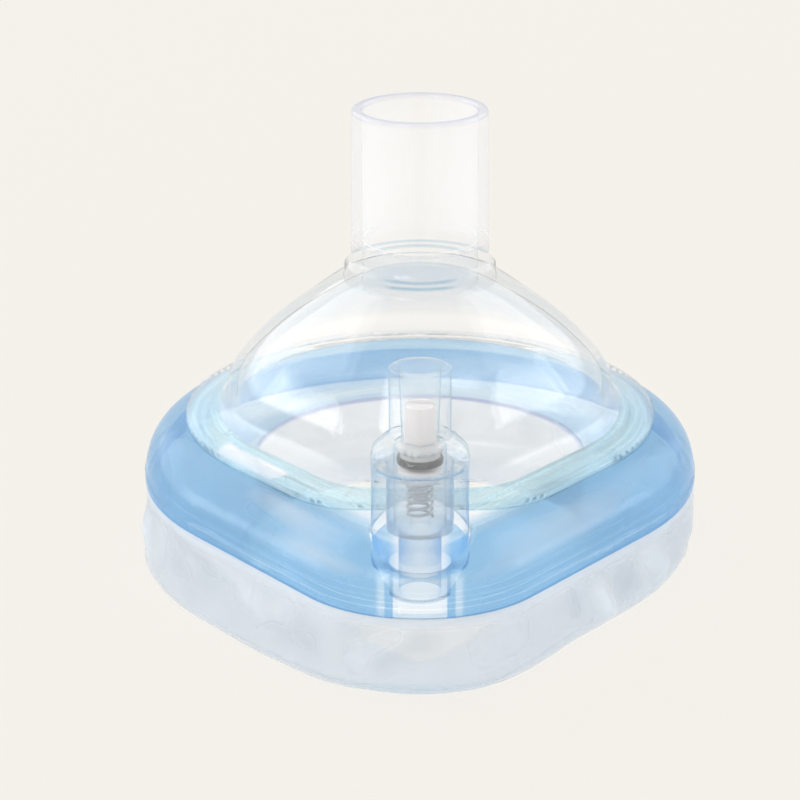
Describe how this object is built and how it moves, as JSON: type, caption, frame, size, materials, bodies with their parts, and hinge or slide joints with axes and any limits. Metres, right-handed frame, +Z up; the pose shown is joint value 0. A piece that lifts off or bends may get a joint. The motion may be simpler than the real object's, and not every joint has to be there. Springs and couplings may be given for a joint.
{
  "type": "air cushion face mask",
  "caption": "Small breathing mask: clear pear-shaped dome with a 15 mm tube, blue air cushion with a clear film underside and a sprung inflation valve at the nose end.",
  "frame": {"origin": "centre of the bounding box's underside, on the plane that the face side rests on", "axes": "+Z up along the breathing tube, -Y towards the nose end with the inflation valve, +Y towards the chin, X across; the mask is symmetric about X = 0"},
  "size_m": [0.0646, 0.0746, 0.056],
  "materials": {
    "crown": "clear polished rigid plastic",
    "cushion_top": "clear blue soft vinyl, glossy",
    "cushion_bag": "clear thin vinyl film, wrinkled",
    "bond_film": "clear cured adhesive",
    "valve_body": "clear polished rigid plastic",
    "valve_plunger": "white plastic",
    "valve_seal": "black elastomer",
    "valve_spring": "drawn stainless wire",
    "valve_retainer": "natural plastic"
  },
  "bodies": {
    "mask": {"crown": "crown", "cushion_top": "cushion_top", "cushion_bag": "cushion_bag", "bond_film": "bond_film", "valve_body": "valve_body", "valve_retainer": "valve_retainer", "valve_spring": "valve_spring"},
    "valve_core": {"valve_plunger": "valve_plunger", "valve_seal": "valve_seal"}
  },
  "joints": [
    {"name": "valve_press", "type": "slide", "parent": "mask", "child": "valve_core", "axis": [0, 0, -1], "range_m": [0, 0.0016], "stiffness_N_per_m": 900, "springref_m": -0.0012, "deforming": ["valve_spring"]}
  ]
}
